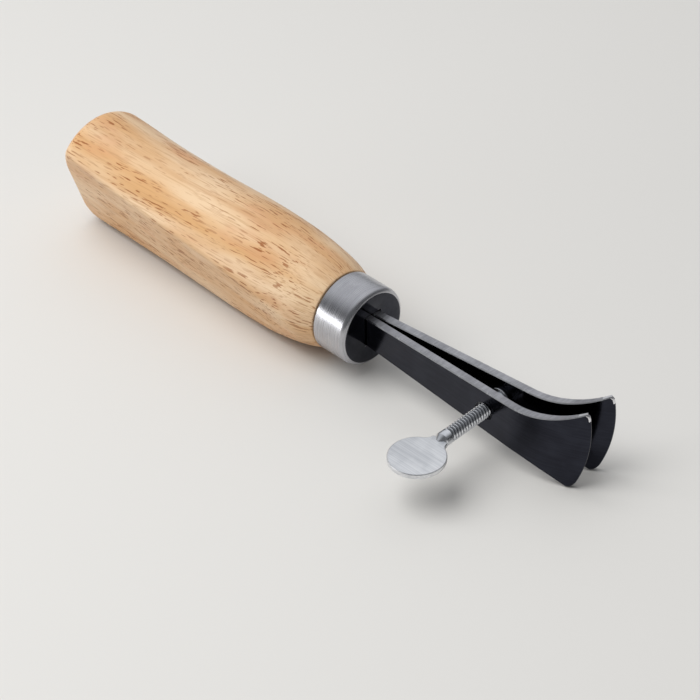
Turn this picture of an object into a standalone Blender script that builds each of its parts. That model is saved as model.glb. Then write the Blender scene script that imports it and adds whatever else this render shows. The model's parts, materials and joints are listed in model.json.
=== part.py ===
"""Adjustable leather edge creaser: a turned wooden handle with two side flats, a steel ferrule, two spring
blades that curve to one side, and a thumb screw that sets the distance between the blades.

Tool frame while building: +X from the ferrule's front face to the blade tips, +Z up, thumb screw towards -Y.
The finished tool is then moved so that the origin is the centre of its underside.
"""

import math

import bmesh
import bpy
from mathutils import Matrix, Vector

MM = 0.001

# Clearances
TOUCH_GAP = 0.3 * MM  # between pieces that touch on the real tool
BEDDING_GAP = 0.2 * MM

# Handle, measured back from the ferrule's front face
FERRULE_LENGTH = 10.3 * MM
HANDLE_LENGTH = 91.0 * MM
BUTT_ROUNDING = 4.2 * MM  # of the turned end, before the flats are cut
FLAT_END_ROUNDING = 0.8 * MM
# distance behind the ferrule's back rim, radius
HANDLE_PROFILE = (
    (0.0, 10.45), (4.0, 11.8), (9.0, 12.8), (18.0, 13.9), (28.0, 14.35), (36.0, 14.4), (48.0, 14.15),
    (60.0, 14.1), (72.0, 14.35), (82.0, 14.85), (91.0, 15.2),
)
RIDGE_ROUNDING = 0.7 * MM
BUTT_RIDGE_ROUNDING = 5.0 * MM  # the ridges are worn softer near the butt
BUTT_WEAR_LENGTH = 9.0 * MM
HANDLE_STATIONS = (0.0, 1.5, 3, 5, 8, 12, 17, 23, 30, 38, 47, 57, 67, 76, 80, 83.5)
BUTT_STEPS = 5
FLAT_TURN = math.radians(19.7)  # how far below level each side flat faces
FLAT_DEPTH_AT_BUTT = 8.5 * MM  # from the tool axis
FLAT_TAPER = 0.046  # the flats run out towards the ferrule
FLAT_REACH = 0.1  # cosine of the angle past which a flat no longer cuts the turned body
TENON_RADIUS = 9.3 * MM
HANDLE_SIDES = 48
INNER_SIDES = 32

# Ferrule
FERRULE_RADIUS = 10.5 * MM
FERRULE_BORE = 9.7 * MM
FERRULE_FRONT_WALL = 1.6 * MM
FERRULE_FRONT_ROUNDING = 1.5 * MM
FERRULE_FRONT_STEPS = 5
FERRULE_BACK_CHAMFER = 0.4 * MM

# Blades, s is the length along a blade from the ferrule's front face
BLADE_THICKNESS = 2.3 * MM
HALF_GAP_AT_FERRULE = 0.15 * MM
SPLAY = math.radians(2.62)  # each blade turns this far away from the tool axis
BLADE_HALF_WIDTH = 4.09 * MM
BLADE_WIDENING = 0.0438
BEND_START = 49.4 * MM
BEND_RADIUS = 40.4 * MM
FLARE_START = 50.8 * MM
TOP_FLARE = 0.0135 / MM
BOTTOM_FLARE = 0.0165 / MM
TIP_REACH = 71.4 * MM
TIP_ARC_RADIUS = 35.5 * MM
TIP_ARC_HEIGHT = 6.0 * MM
TIP_TOP_CORNER = 2.0 * MM
TIP_BOTTOM_CORNER = 2.4 * MM
THIN_START = 59.0 * MM
TIP_THICKNESS = 1.0 * MM
BLADE_LINES = (0.0, 0.02, 0.05, 0.1, 0.2, 0.4, 0.6, 0.8, 0.95, 0.98, 1.0)  # shares of the blade's width
BLADE_STEPS = 22
STEP_CROWDING = 1.5  # above 1 the steps are shorter towards the tip

# Tangs, the hidden ends of the blades
TANG_LENGTH = 30.0 * MM
TANG_END_HALF_WIDTH = 3.0 * MM
BEDDING_RADIUS = 6.0 * MM
BEDDING_END_WALL = 2.0 * MM

# Bearing pad, the round disc on the far blade that the screw's tip presses on
PAD_RADIUS = 3.1 * MM
PAD_THICKNESS = 0.6 * MM
PAD_CHAMFER = 0.25 * MM

# Thumb screw, a is the distance from its tip
SCREW_AT = 41.0 * MM  # along the blades
THREAD_RADIUS = 1.9 * MM
THREAD_DEPTH = 0.42 * MM
THREAD_PITCH = 0.9 * MM
THREAD_START = 0.9 * MM
THREAD_END = 18.65 * MM
SHANK_END = 20.25 * MM
HEAD_CENTRE = 29.1 * MM
HEAD_RADIUS = 7.1 * MM
HEAD_THICKNESS = 1.4 * MM
HEAD_BEVEL = 0.25 * MM
HEAD_STEPS = 14
NECK_FILLET = 2.6 * MM
NECK_STEPS = 5
NECK_HALF_WIDTH = 2.25 * MM
CONE_LENGTH = 2.0 * MM  # the shank's end narrows into the flat head
CONE_END_RADIUS = 0.5 * MM
TIP_ROUNDING = 0.7 * MM

# Hole in the near blade. The screw leans as the blades open, so the hole is a little long.
HOLE_HALF_LENGTH = 2.85 * MM
HOLE_HALF_HEIGHT = 2.25 * MM
HOLE_SHIFT = 0.45 * MM
HOLE_SIDES = 24
HOLE_CUTTER_REACH = 4.0 * MM


def clear_scene():
    for obj in list(bpy.data.objects):
        bpy.data.objects.remove(obj, do_unlink=True)


def finish_of(name, colour, roughness, metallic):
    material = bpy.data.materials.new(name)
    material.use_nodes = True
    shader = material.node_tree.nodes["Principled BSDF"]
    shader.inputs["Base Color"].default_value = (*colour, 1.0)
    shader.inputs["Roughness"].default_value = roughness
    shader.inputs["Metallic"].default_value = metallic
    return material


def add_object(name, mesh_data, material, parent):
    """Turns a bmesh into a named object under its parent empty."""
    mesh = bpy.data.meshes.new(name)
    bmesh.ops.recalc_face_normals(mesh_data, faces=mesh_data.faces)
    mesh_data.to_mesh(mesh)
    mesh_data.free()
    mesh.materials.append(material)
    mesh.shade_smooth()
    mesh.set_sharp_from_angle(angle=math.radians(30))
    obj = bpy.data.objects.new(name, mesh)
    bpy.context.scene.collection.objects.link(obj)
    obj.parent = parent
    return obj


def add_empty(name, parent, location=(0, 0, 0), turn=0.0):
    empty = bpy.data.objects.new(name, None)
    bpy.context.scene.collection.objects.link(empty)
    empty.parent = parent
    empty.location = location
    empty.rotation_euler = (0, 0, turn)
    return empty


def loft_rings(rings):
    """A closed skin through rings of points. A ring of one point is a pole that closes its end."""
    mesh = bmesh.new()
    loops = [[mesh.verts.new(point) for point in ring] for ring in rings]
    for first, second in zip(loops, loops[1:]):
        count = max(len(first), len(second))
        for i in range(count):
            j = (i + 1) % count
            corners = [first[i % len(first)], first[j % len(first)]]
            corners += [second[j % len(second)], second[i % len(second)]]
            mesh.faces.new(list(dict.fromkeys(corners)))
    return mesh


def ring(x, radius_at, sides):
    """Points round the X axis; radius_at gives the radius at an angle from +Y towards +Z."""
    angles = [2 * math.pi * i / sides for i in range(sides)]
    return [(x, radius_at(a) * math.cos(a), radius_at(a) * math.sin(a)) for a in angles]


def turned(outline, sides):
    """A body turned about the X axis from (x, radius) points; a radius of 0 is a pole."""
    rings = []
    for x, radius in outline:
        rings.append([(x, 0, 0)] if radius == 0 else ring(x, lambda angle, r=radius: r, sides))
    return loft_rings(rings)


def arc(centre, radius, start, end, steps):
    """Points on an arc, angles in degrees."""
    points = []
    for i in range(steps + 1):
        angle = math.radians(start + (end - start) * i / steps)
        points.append((centre[0] + radius * math.cos(angle), centre[1] + radius * math.sin(angle)))
    return points


def box_mesh(low, high):
    mesh = bmesh.new()
    bmesh.ops.create_cube(mesh, size=1.0)
    size = Vector(high) - Vector(low)
    centre = (Vector(high) + Vector(low)) / 2
    place = Matrix.Translation(centre) @ Matrix.Diagonal((*size, 1.0))
    bmesh.ops.transform(mesh, matrix=place, verts=mesh.verts)
    return mesh


def combine(obj, other, operation):
    """Cuts or joins with a helper object, which stays out of the render."""
    other.hide_render = True
    other.display_type = "WIRE"
    boolean = obj.modifiers.new(other.name, "BOOLEAN")
    boolean.operation = operation
    boolean.solver = "EXACT"
    boolean.object = other


def smooth_through(points, at):
    """Catmull-Rom height at a place, through (place, height) points in rising order."""
    last = len(points) - 1
    k = 0
    while k < last - 1 and at > points[k + 1][0]:
        k += 1
    (x0, y0), (x1, y1) = points[k], points[k + 1]
    before = points[max(k - 1, 0)]
    after = points[min(k + 2, last)]
    slope0 = (y1 - before[1]) / (x1 - before[0])
    slope1 = (after[1] - y0) / (after[0] - x0)
    span = x1 - x0
    t = (at - x0) / span
    return (
        (2 * t**3 - 3 * t**2 + 1) * y0
        + (t**3 - 2 * t**2 + t) * span * slope0
        + (3 * t**2 - 2 * t**3) * y1
        + (t**3 - t**2) * span * slope1
    )


def rounded_inset(from_end, rounding):
    """How far a rounded edge draws in, at this distance from the end."""
    inset = max(rounding - from_end, 0.0)
    return rounding - math.sqrt(max(rounding**2 - inset**2, 0.0))


def handle_radius(back, angle):
    """The turned radius, cut by the two side flats with softly rounded ridges."""
    from_end = HANDLE_LENGTH - back
    radius = smooth_through(HANDLE_PROFILE, back / MM) * MM - rounded_inset(from_end, BUTT_ROUNDING)
    depth = FLAT_DEPTH_AT_BUTT + FLAT_TAPER * from_end
    wear = max(1 - from_end / BUTT_WEAR_LENGTH, 0.0) ** 2
    softness = RIDGE_ROUNDING + (BUTT_RIDGE_ROUNDING - RIDGE_ROUNDING) * wear
    for facing in (-FLAT_TURN, math.pi + FLAT_TURN):
        lean = math.cos(angle - facing)
        if lean <= FLAT_REACH:
            continue
        to_flat = depth / lean
        overlap = max(softness - abs(radius - to_flat), 0.0) / softness
        radius = min(radius, to_flat) - overlap**2 * softness / 4
    return radius - rounded_inset(from_end, FLAT_END_ROUNDING)


def make_handle(material, parent):
    """Wood: bored for the tangs at the front, with a tenon inside the ferrule and a rounded butt."""
    bore = BEDDING_RADIUS + BEDDING_GAP
    shoulder = -FERRULE_LENGTH - TOUCH_GAP
    tenon_front = -FERRULE_FRONT_WALL - 2 * TOUCH_GAP
    bore_end = tenon_front - TANG_LENGTH - BEDDING_END_WALL - TOUCH_GAP

    def plain(radius):
        return lambda angle: radius

    rings = [[(bore_end, 0, 0)]]
    inner = ((bore_end, bore), (tenon_front, bore), (tenon_front, TENON_RADIUS), (shoulder, TENON_RADIUS))
    for x, radius in inner:
        rings.append(ring(x, plain(radius), HANDLE_SIDES))
    stations = [station * MM for station in HANDLE_STATIONS]
    for i in range(BUTT_STEPS + 1):
        inset = BUTT_ROUNDING * math.sin(math.pi / 2 * i / BUTT_STEPS)
        stations.append(HANDLE_LENGTH - BUTT_ROUNDING + inset)
    for back in stations:
        rings.append(ring(shoulder - back, lambda angle, b=back: handle_radius(b, angle), HANDLE_SIDES))
    rings.append([(shoulder - HANDLE_LENGTH, 0, 0)])
    return add_object("handle", loft_rings(rings), material, parent)


def make_ferrule(material, parent):
    """Steel cap with a flat front face, slotted for the two blades."""
    corner = (-FERRULE_FRONT_ROUNDING, FERRULE_RADIUS - FERRULE_FRONT_ROUNDING)
    outline = [(-FERRULE_FRONT_WALL, 0), (-FERRULE_FRONT_WALL, FERRULE_BORE)]
    outline.append((-FERRULE_LENGTH, FERRULE_BORE))
    outline.append((-FERRULE_LENGTH, FERRULE_RADIUS - FERRULE_BACK_CHAMFER))
    outline.append((-FERRULE_LENGTH + FERRULE_BACK_CHAMFER, FERRULE_RADIUS))
    outline += arc(corner, FERRULE_FRONT_ROUNDING, 90, 0, FERRULE_FRONT_STEPS)
    outline.append((0, 0))
    ferrule = add_object("ferrule", turned(outline, HANDLE_SIDES), material, parent)
    half_width = HALF_GAP_AT_FERRULE + BLADE_THICKNESS + TOUCH_GAP
    half_height = BLADE_HALF_WIDTH + TOUCH_GAP
    depth = 2 * FERRULE_FRONT_WALL
    slot = box_mesh((-depth, -half_width, -half_height), (depth, half_width, half_height))
    combine(ferrule, add_object("ferrule_slot_cutter", slot, material, parent), "DIFFERENCE")
    return ferrule


def make_tang_bedding(material, parent):
    """The set resin that holds both tangs in the handle's bore."""
    front = -FERRULE_FRONT_WALL - 3 * TOUCH_GAP
    back = front - TANG_LENGTH - BEDDING_END_WALL + TOUCH_GAP
    outline = [(back, 0), (back, BEDDING_RADIUS), (front, BEDDING_RADIUS), (front, 0)]
    bedding = add_object("tang_bedding", turned(outline, INNER_SIDES), material, parent)
    half_width = HALF_GAP_AT_FERRULE + BLADE_THICKNESS + BEDDING_GAP
    half_height = BLADE_HALF_WIDTH + BEDDING_GAP
    slot = box_mesh((back + BEDDING_END_WALL, -half_width, -half_height), (0, half_width, half_height))
    combine(bedding, add_object("bedding_slot_cutter", slot, material, parent), "DIFFERENCE")
    return bedding


def make_tang(name, side, material, parent):
    """The fixed end of a blade, narrowing towards the handle. side is -1 near, +1 far."""
    inner = side * HALF_GAP_AT_FERRULE
    outer = side * (HALF_GAP_AT_FERRULE + BLADE_THICKNESS)
    front = -TOUCH_GAP / 2
    back = -FERRULE_FRONT_WALL - 3 * TOUCH_GAP - TANG_LENGTH + 2 * TOUCH_GAP
    widest = BLADE_HALF_WIDTH
    profile = ((back, TANG_END_HALF_WIDTH), (back / 2, widest - BEDDING_GAP), (front, widest))
    rings = []
    for x, half in profile:
        rings.append([(x, inner, -half), (x, outer, -half), (x, outer, half), (x, inner, half)])
    mesh = loft_rings(rings)
    mesh.verts.ensure_lookup_table()
    mesh.faces.new([mesh.verts[i] for i in range(4)])
    mesh.faces.new([mesh.verts[i] for i in range(len(mesh.verts) - 4, len(mesh.verts))])
    return add_object(name, mesh, material, parent)


def blade_half_width(s, flare):
    return BLADE_HALF_WIDTH + BLADE_WIDENING * s + flare * max(s - FLARE_START, 0.0) ** 2


def blade_height(s, across):
    """Height of a line along the blade; across runs from 0 at the lower edge to 1 at the upper edge."""
    low = -blade_half_width(s, BOTTOM_FLARE)
    high = blade_half_width(s, TOP_FLARE)
    return low + (high - low) * across


def tip_reach(z):
    """Where the curved front edge lies at a height, with both corners rounded."""
    rise = z - TIP_ARC_HEIGHT
    reach = TIP_REACH - TIP_ARC_RADIUS + math.sqrt(TIP_ARC_RADIUS**2 - rise**2)
    top = blade_half_width(TIP_REACH, TOP_FLARE)
    bottom = blade_half_width(TIP_REACH - 2 * TIP_BOTTOM_CORNER, BOTTOM_FLARE)
    for inside, corner in ((top - z, TIP_TOP_CORNER), (bottom + z, TIP_BOTTOM_CORNER)):
        inset = min(max(corner - inside, 0.0), corner)
        reach -= corner - math.sqrt(corner**2 - inset**2)
    return reach


def blade_end(across):
    """Length of the line that runs along the blade at this share of its width."""
    s = TIP_REACH
    for _ in range(40):
        s = (s + tip_reach(blade_height(s, across))) / 2
    return s


def blade_point(s, z, offset):
    """A point of an unsplayed blade: straight, then bent to +Y, offset from the middle of its thickness."""
    turn = max(s - BEND_START, 0.0) / BEND_RADIUS
    if turn == 0.0:
        return (s, offset, z)
    x = BEND_START + (BEND_RADIUS - offset) * math.sin(turn)
    y = BEND_RADIUS - (BEND_RADIUS - offset) * math.cos(turn)
    return (x, y, z)


def half_thickness(s):
    share = min(max((s - THIN_START) / (TIP_REACH - THIN_START), 0.0), 1.0)
    return (BLADE_THICKNESS + (TIP_THICKNESS - BLADE_THICKNESS) * share) / 2


def make_blade(name, material, parent):
    """A spring blade: a bent plate that widens, flares and thins towards its curved front edge."""
    first = TOUCH_GAP / 2
    rings = []
    for i in range(BLADE_STEPS + 1):
        share = 1 - (1 - i / BLADE_STEPS) ** STEP_CROWDING
        near_side = []
        far_side = []
        for across in BLADE_LINES:
            s = first + (blade_end(across) - first) * share
            z = blade_height(s, across)
            near_side.append(blade_point(s, z, -half_thickness(s)))
            far_side.append(blade_point(s, z, half_thickness(s)))
        rings.append(near_side + far_side[::-1])
    mesh = loft_rings(rings)
    mesh.verts.ensure_lookup_table()
    rows = len(BLADE_LINES)
    for start in (0, len(mesh.verts) - 2 * rows):
        for k in range(rows - 1):
            corners = (start + k, start + k + 1, start + 2 * rows - 2 - k, start + 2 * rows - 1 - k)
            mesh.faces.new([mesh.verts[c] for c in corners])
    return add_object(name, mesh, material, parent)


def along_y(mesh, centre_x):
    """Turns a body built along +X to run along +Y at this place on a blade."""
    place = Matrix.Translation((centre_x, 0, 0)) @ Matrix.Rotation(math.pi / 2, 4, "Z")
    bmesh.ops.transform(mesh, matrix=place, verts=mesh.verts)
    return mesh


def screw_hole(name, material, parent):
    reach = HOLE_CUTTER_REACH
    mesh = turned([(-reach, 0), (-reach, 1.0), (reach, 1.0), (reach, 0)], HOLE_SIDES)
    along_y(mesh, 0)
    stretch = Matrix.Diagonal((HOLE_HALF_LENGTH, 1.0, HOLE_HALF_HEIGHT, 1.0))
    place = Matrix.Translation((SCREW_AT + HOLE_SHIFT, 0, 0))
    bmesh.ops.transform(mesh, matrix=place @ stretch, verts=mesh.verts)
    return add_object(name, mesh, material, parent)


def make_bearing_pad(material, parent):
    """Round disc on the inner face of the far blade, under the screw's tip."""
    back = -BLADE_THICKNESS / 2 - TOUCH_GAP / 2
    front = back - PAD_THICKNESS
    outline = [(front, 0), (front, PAD_RADIUS - PAD_CHAMFER), (front + PAD_CHAMFER, PAD_RADIUS)]
    outline += [(back, PAD_RADIUS), (back, 0)]
    return add_object("bearing_pad", along_y(turned(outline, INNER_SIDES), SCREW_AT), material, parent)


def thread_radius(a, angle):
    """A right-hand thread: a triangular ridge that fades in and out at the ends of the threaded stretch."""
    phase = (a / THREAD_PITCH + angle / (2 * math.pi)) % 1.0
    groove = abs(2 * phase - 1)
    fade = min(max(min(a - THREAD_START, THREAD_END - a) / THREAD_PITCH, 0.0), 1.0)
    return THREAD_RADIUS - THREAD_DEPTH * groove * fade


def make_thumb_screw(material, parent):
    """One piece: a threaded shank with a rounded tip and a flat spade head. It is made along +X from its tip."""
    sides = 12
    rows_per_turn = 6
    rings = [[(0, 0, 0)]]
    tip = ((0.0, THREAD_RADIUS - 2 * TIP_ROUNDING), (TIP_ROUNDING, THREAD_RADIUS - TIP_ROUNDING / 3))
    for a, radius in tip:
        rings.append(ring(a, lambda angle, r=radius: r, sides))
    rows = round((THREAD_END - THREAD_START) / THREAD_PITCH * rows_per_turn)
    for i in range(rows + 1):
        a = THREAD_START + (THREAD_END - THREAD_START) * i / rows
        rings.append(ring(a, lambda angle, a=a: thread_radius(a, angle), sides))
    rings.append(ring(SHANK_END, lambda angle: THREAD_RADIUS, sides))
    rings.append(ring(SHANK_END + CONE_LENGTH, lambda angle: CONE_END_RADIUS, sides))
    rings.append([(SHANK_END + CONE_LENGTH, 0, 0)])
    screw = add_object("thumb_screw", loft_rings(rings), material, parent)
    combine(screw, add_object("spade_head_joiner", spade_head(), material, parent), "UNION")
    return screw


def spade_outline():
    """Half of the head's outline above its centre line: a neck fillet, then the round of the head."""
    rise = NECK_HALF_WIDTH + NECK_FILLET
    reach = HEAD_RADIUS + NECK_FILLET
    back = math.sqrt(reach**2 - rise**2)
    fillet_centre = (HEAD_CENTRE - back, rise)
    meet = math.degrees(math.atan2(-rise, back))
    points = arc(fillet_centre, NECK_FILLET, -90, meet, NECK_STEPS)
    return points + arc((HEAD_CENTRE, 0), HEAD_RADIUS, 180 + meet, 0, HEAD_STEPS)[1:]


def spade_head():
    """The flat head, with its rim bevelled."""
    upper = spade_outline()
    outline = upper + [(x, -y) for x, y in reversed(upper[:-1])]
    mesh = bmesh.new()
    face = mesh.faces.new([mesh.verts.new((x, y, -HEAD_THICKNESS / 2)) for x, y in outline])
    extruded = bmesh.ops.extrude_face_region(mesh, geom=[face])
    raised = [item for item in extruded["geom"] if isinstance(item, bmesh.types.BMVert)]
    bmesh.ops.translate(mesh, vec=(0, 0, HEAD_THICKNESS), verts=raised)
    bmesh.ops.recalc_face_normals(mesh, faces=mesh.faces)
    rim = [edge for edge in mesh.edges if edge.calc_face_angle(0.0) > math.radians(60)]
    bmesh.ops.bevel(mesh, geom=rim, offset=HEAD_BEVEL, segments=1, affect="EDGES")
    return mesh


def lowest_middle(objects):
    """The centre of the underside of the box round all the objects."""
    bpy.context.view_layer.update()
    graph = bpy.context.evaluated_depsgraph_get()
    points = []
    for obj in objects:
        evaluated = obj.evaluated_get(graph)
        points += [evaluated.matrix_world @ vertex.co for vertex in evaluated.data.vertices]
    low = [min(point[i] for point in points) for i in range(3)]
    high = [max(point[i] for point in points) for i in range(3)]
    return Vector(((low[0] + high[0]) / 2, (low[1] + high[1]) / 2, low[2]))


def build():
    clear_scene()
    wood = finish_of("beech", (0.68, 0.45, 0.24), 0.4, 0.0)
    ferrule_steel = finish_of("ferrule_steel", (0.6, 0.6, 0.62), 0.28, 1.0)
    blade_steel = finish_of("blade_steel", (0.45, 0.45, 0.47), 0.22, 1.0)
    tang_steel = finish_of("tang_steel", (0.4, 0.4, 0.42), 0.4, 1.0)
    screw_steel = finish_of("screw_steel", (0.72, 0.72, 0.73), 0.3, 1.0)
    resin = finish_of("resin", (0.55, 0.42, 0.2), 0.5, 0.0)

    tool = add_empty("tool", None)
    parts = [make_handle(wood, tool), make_ferrule(ferrule_steel, tool), make_tang_bedding(resin, tool)]
    hinge_offset = HALF_GAP_AT_FERRULE + BLADE_THICKNESS / 2
    for name, side in (("near", -1), ("far", 1)):
        parts.append(make_tang(name + "_blade_tang", side, tang_steel, tool))
        hinge = add_empty(name + "_blade_hinge", tool, (0, side * hinge_offset, 0), side * SPLAY)
        blade = make_blade(name + "_blade", blade_steel, hinge)
        parts.append(blade)
        if side < 0:
            combine(blade, screw_hole("blade_hole_cutter", blade_steel, hinge), "DIFFERENCE")
        else:
            parts.append(make_bearing_pad(screw_steel, hinge))
            tip = (SCREW_AT, -BLADE_THICKNESS / 2 - TOUCH_GAP - PAD_THICKNESS, 0)
            screw_axis = add_empty("thumb_screw_axis", hinge, tip, -math.pi / 2)
            parts.append(make_thumb_screw(screw_steel, screw_axis))
    tool.location = -lowest_middle(parts)
    bpy.context.view_layer.update()


build()
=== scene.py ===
"""Looks of an adjustable leather edge creaser: a beech handle, a steel ferrule, two curved spring blades and
the thumb screw that sets them. Metres throughout: +X towards the blade tips, +Z up, thumb screw towards -Y.
"""

import json
import math

import bmesh
import bpy
from mathutils import Matrix, Vector


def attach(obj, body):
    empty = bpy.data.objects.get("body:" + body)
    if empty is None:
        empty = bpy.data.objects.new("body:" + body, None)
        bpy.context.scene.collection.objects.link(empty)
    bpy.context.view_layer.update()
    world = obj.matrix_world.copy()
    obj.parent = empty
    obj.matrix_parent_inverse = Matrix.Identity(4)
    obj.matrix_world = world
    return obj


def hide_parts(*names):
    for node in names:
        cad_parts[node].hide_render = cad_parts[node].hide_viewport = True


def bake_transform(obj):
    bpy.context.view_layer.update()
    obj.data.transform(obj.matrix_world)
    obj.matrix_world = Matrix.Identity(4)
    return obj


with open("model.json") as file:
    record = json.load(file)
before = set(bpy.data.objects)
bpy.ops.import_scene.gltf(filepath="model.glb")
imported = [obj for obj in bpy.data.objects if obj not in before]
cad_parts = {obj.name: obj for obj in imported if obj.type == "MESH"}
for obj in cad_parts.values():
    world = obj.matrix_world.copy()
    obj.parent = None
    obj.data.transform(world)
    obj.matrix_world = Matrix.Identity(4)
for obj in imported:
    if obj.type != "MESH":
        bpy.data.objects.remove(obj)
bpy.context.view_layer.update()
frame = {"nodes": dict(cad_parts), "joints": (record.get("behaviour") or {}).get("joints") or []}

MM = 0.001

# Handle, measured back from the ferrule's back rim
HANDLE_LENGTH = 91.0 * MM
BUTT_ROUNDING = 4.2 * MM
FLAT_END_ROUNDING = 0.8 * MM
# distance behind the ferrule's back rim, radius
HANDLE_PROFILE = (
    (0.0, 10.45), (4.0, 11.8), (9.0, 12.8), (18.0, 13.9), (28.0, 14.35), (36.0, 14.4), (48.0, 14.15),
    (60.0, 14.1), (72.0, 14.35), (82.0, 14.85), (91.0, 15.2),
)
RIDGE_ROUNDING = 0.7 * MM
BUTT_RIDGE_ROUNDING = 5.0 * MM
BUTT_WEAR_LENGTH = 9.0 * MM
FLAT_TURN = math.radians(19.7)
FLAT_DEPTH_AT_BUTT = 8.5 * MM
FLAT_TAPER = 0.046
FLAT_REACH = 0.1  # cosine of the angle past which a flat no longer cuts the turned body
TAPER_LENGTH = 19.0 * MM  # from the ferrule to the widest place of the bulge
GRAIN_DRAW = 1.55  # how much closer the grain lies at the ferrule than in the bulge
HANDLE_SIDES = 192
HANDLE_STEP = 0.9 * MM
BUTT_STEPS = 10
CAP_RINGS = (0.8, 0.4)  # shares of the butt's rim, so that its end face has even quads
HANDLE_SHARP_DEGREES = 50.0
RIM_ROUNDING = 0.3 * MM
TENON_RADIUS = 9.3 * MM
BORE_RADIUS = 6.2 * MM
BORE_LENGTH = 32.5 * MM

# Ferrule
FERRULE_LENGTH = 10.3 * MM
FERRULE_RADIUS = 10.5 * MM
FERRULE_BORE = 9.7 * MM
FERRULE_FRONT_WALL = 1.6 * MM
FERRULE_FRONT_ROUNDING = 1.5 * MM
FERRULE_BACK_CHAMFER = 0.4 * MM
FERRULE_SIDE_RINGS = (-8 * MM, -6 * MM, -4 * MM)
FERRULE_BACK_STEPS = 4
FERRULE_FRONT_STEPS = 10
FRONT_FACING = 0.97  # share of a face's normal along X that makes it part of the front face
SLOT_BREAK = 0.12 * MM
SLOT_BREAK_STEPS = 2
SLOT_BREAK_DEGREES = 70.0
TOUCH_GAP = 0.3 * MM

# Blades, s is the length along a blade from the ferrule's front face
BLADE_THICKNESS = 2.3 * MM
HALF_GAP_AT_FERRULE = 0.15 * MM
BLADE_HALF_WIDTH = 4.09 * MM
BLADE_WIDENING = 0.0438
BEND_START = 49.4 * MM
BEND_RADIUS = 40.4 * MM
FLARE_START = 50.8 * MM
TOP_FLARE = 0.0135 / MM
BOTTOM_FLARE = 0.0165 / MM
TIP_REACH = 71.4 * MM
TIP_ARC_RADIUS = 35.5 * MM
TIP_ARC_HEIGHT = 6.0 * MM
TIP_TOP_CORNER = 2.0 * MM
TIP_BOTTOM_CORNER = 2.4 * MM
THIN_START = 59.0 * MM
TIP_THICKNESS = 1.0 * MM
TANG_LENGTH = 31.6 * MM
TANG_END_HALF_WIDTH = 3.0 * MM
TANG_ROWS = 14
BODY_ROWS = 120
FACES_ACROSS = 22
ROUND_STEPS = 4
BLADE_SHARP_DEGREES = 28.0
ARRIS = 0.24 * MM
TIP_EDGE_ROUNDING = 0.36 * MM
# the upper tip corner takes the bright facet steel, a painted highlight
CORNER_COLUMNS = 3
CORNER_ROWS = 7

# Bearing pad and hole for the screw
SCREW_AT = 41.0 * MM
PAD_RADIUS = 3.1 * MM
PAD_THICKNESS = 0.6 * MM
PAD_ROUNDING = 0.22 * MM
PAD_SIDES = 72
PAD_STEPS = 4
HOLE_HALF_LENGTH = 2.85 * MM
HOLE_HALF_HEIGHT = 2.25 * MM
HOLE_SHIFT = 0.45 * MM
HOLE_SIDES = 64
HOLE_CUTTER_REACH = 4.0 * MM

# Thumb screw, a is the distance from its tip
THREAD_RADIUS = 1.9 * MM
THREAD_DEPTH = 0.42 * MM
THREAD_PITCH = 0.9 * MM
THREAD_START = 0.9 * MM
THREAD_END = 18.65 * MM
SHANK_END = 20.25 * MM
TIP_ROUNDING = 0.7 * MM
HEAD_CENTRE = 29.1 * MM
HEAD_RADIUS = 7.1 * MM
HEAD_THICKNESS = 1.4 * MM
HEAD_RIM = 0.3 * MM
HEAD_RIM_STEPS = 4
HEAD_RIM_DEGREES = 60.0
HEAD_SHARP_DEGREES = 40.0
HEAD_STEPS = 48
NECK_FILLET = 2.6 * MM
NECK_STEPS = 12
NECK_HALF_WIDTH = 2.25 * MM
CONE_LENGTH = 2.0 * MM
CONE_END_RADIUS = 0.5 * MM
ROWS_PER_TURN = 12
THREAD_SIDES = 48
THREAD_SHARP_DEGREES = 60.0
CREST_END = 0.12  # of the way from crest to root, where the flat crest ends
ROOT_START = 0.9  # and where the flat root starts
ROW_MARGIN = 0.01 * MM
MERGE_DISTANCE = 0.002 * MM
LOOSE_DISTANCE = 0.001 * MM
# past this share of the depth the groove is painted dark, a painted shade
GROOVE_SHARE = 0.6  # of the thread's depth, past which it is dark

joints = {joint["name"]: joint for joint in frame["joints"]}
near_hinge = Vector(joints["near_blade_flex"]["pos_m"])
far_hinge = Vector(joints["far_blade_flex"]["pos_m"])
screw_tip = Vector(joints["thumb_screw_turn"]["pos_m"])
screw_axis = Vector(joints["thumb_screw_turn"]["axis"])
mouth = (near_hinge + far_hinge) / 2  # centre of the ferrule's front face
splay = math.atan2(-screw_axis.x, screw_axis.y)
SHOULDER = -FERRULE_LENGTH - TOUCH_GAP


# Materials


def linear(code):
    """An sRGB hex colour as linear red, green, blue and alpha."""
    values = [int(code[i : i + 2], 16) / 255 for i in (1, 3, 5)]
    return (*[v / 12.92 if v <= 0.04045 else ((v + 0.055) / 1.055) ** 2.4 for v in values], 1.0)


def add_node(tree, kind, inputs=None, **settings):
    """Adds a node; an input is given a value, or the socket that feeds it."""
    made = tree.nodes.new(kind)
    for name, value in settings.items():
        setattr(made, name, value)
    for key, value in (inputs or {}).items():
        if isinstance(value, bpy.types.NodeSocket):
            tree.links.new(value, made.inputs[key])
        else:
            made.inputs[key].default_value = value
    return made


def new_material(name, **constants):
    """A Principled material; its constants are set on the shader's own sockets."""
    material = bpy.data.materials.new(name)
    material.use_nodes = True
    tree = material.node_tree
    shader = tree.nodes["Principled BSDF"]
    for key, value in constants.items():
        shader.inputs[key.replace("_", " ")].default_value = value
    return material, tree, shader


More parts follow.
